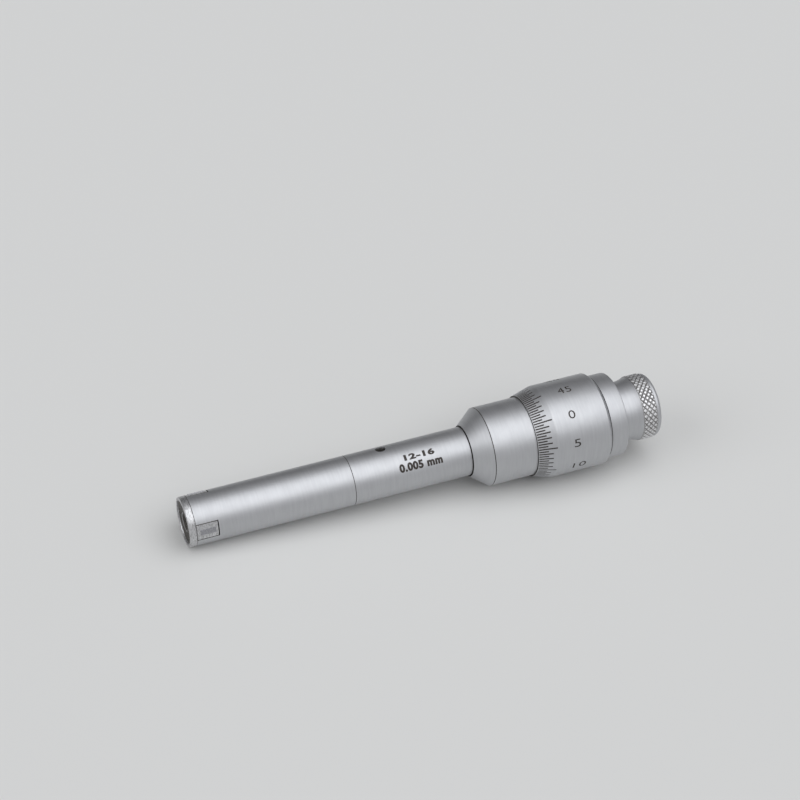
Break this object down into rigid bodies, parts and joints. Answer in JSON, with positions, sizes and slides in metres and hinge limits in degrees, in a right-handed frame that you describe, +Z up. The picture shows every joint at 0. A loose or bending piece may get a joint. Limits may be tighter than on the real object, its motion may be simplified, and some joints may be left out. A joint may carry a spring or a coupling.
{
  "type": "three-point inside micrometer",
  "caption": "Three-point inside micrometer: slim measuring head with three anvils, stem, cone nose, graduated sleeve and thimble, ratchet knob.",
  "frame": {"origin": "middle of the instrument's length and width, on the surface that it lies on", "axes": "+X from the measuring head towards the ratchet knob, +Z up; the instrument's own axis rises 3.436 degrees from the head to the knob, as it lies on its head and thimble"},
  "size_m": [0.116, 0.022, 0.0228],
  "materials": {
    "satin_chrome": "satin chrome plate over steel",
    "polished_steel": "ground and polished hardened steel",
    "carbide": "ground carbide",
    "bronze": "turned bronze",
    "spring_steel": "drawn spring steel",
    "black_steel": "blackened steel"
  },
  "bodies": {
    "frame": {"end_cap": "polished_steel", "end_cap_screws": "black_steel", "head_body": "satin_chrome", "key_pin": "black_steel", "rod_bush": "bronze", "push_rod_spring": "spring_steel", "anvil_spring_1": "spring_steel", "anvil_spring_2": "spring_steel", "anvil_spring_3": "spring_steel", "stem_tube": "satin_chrome", "head_lock_screw": "black_steel", "nose_cone": "satin_chrome", "graduated_sleeve": "satin_chrome", "sleeve_screw": "black_steel", "spindle_nut": "polished_steel", "adjusting_nut": "polished_steel"},
    "plunger": {"measuring_cone": "polished_steel", "push_rod": "polished_steel", "thrust_ball": "polished_steel"},
    "thimble_set": {"spindle": "polished_steel", "thimble": "satin_chrome", "lock_ring": "satin_chrome", "ratchet_wheel": "polished_steel", "ratchet_screw": "black_steel"},
    "knob_set": {"ratchet_knob": "satin_chrome", "ratchet_spring": "spring_steel"},
    "clutch_set": {"ratchet_clutch": "polished_steel"},
    "anvil_set_1": {"anvil_1": "polished_steel", "contact_tip_1": "carbide"},
    "anvil_set_2": {"anvil_2": "polished_steel", "contact_tip_2": "carbide"},
    "anvil_set_3": {"anvil_3": "polished_steel", "contact_tip_3": "carbide"}
  },
  "joints": [
    {"name": "plunger_slide", "type": "slide", "parent": "frame", "child": "plunger", "axis": [-0.9982, 0, -0.0599], "range_m": [0, 0.00425], "deforming": ["push_rod_spring"]},
    {"name": "thimble_turn", "type": "hinge", "parent": "plunger", "child": "thimble_set", "pos_m": [0.02474, 0, 0.01071], "axis": [-0.9982, 0, -0.0599], "range_deg": [0, 3060]},
    {"name": "ratchet_turn", "type": "hinge", "parent": "thimble_set", "child": "knob_set", "pos_m": [0.04762, 0, 0.01209], "axis": [-0.9982, 0, -0.0599], "continuous": true},
    {"name": "clutch_lift", "type": "slide", "parent": "knob_set", "child": "clutch_set", "axis": [0.9982, 0, 0.0599], "range_m": [0, 0.00045], "stiffness_N_per_m": 2000, "springref_m": -0.0015, "deforming": ["ratchet_spring"]},
    {"name": "anvil_1_slide", "type": "slide", "parent": "frame", "child": "anvil_set_1", "axis": [-0.014, -0.9724, 0.233], "range_m": [0, 0.00213], "deforming": ["anvil_spring_1"]},
    {"name": "anvil_2_slide", "type": "slide", "parent": "frame", "child": "anvil_set_2", "axis": [0.0575, 0.284, -0.9571], "range_m": [0, 0.00213], "deforming": ["anvil_spring_2"]},
    {"name": "anvil_3_slide", "type": "slide", "parent": "frame", "child": "anvil_set_3", "axis": [-0.0435, 0.6884, 0.7241], "range_m": [0, 0.00213], "deforming": ["anvil_spring_3"]}
  ],
  "couplings": [
    {"joint": "thimble_turn", "follows": "plunger_slide", "rad_per_m": 12566},
    {"joint": "anvil_1_slide", "follows": "plunger_slide", "ratio": 0.5},
    {"joint": "anvil_2_slide", "follows": "plunger_slide", "ratio": 0.5},
    {"joint": "anvil_3_slide", "follows": "plunger_slide", "ratio": 0.5}
  ]
}
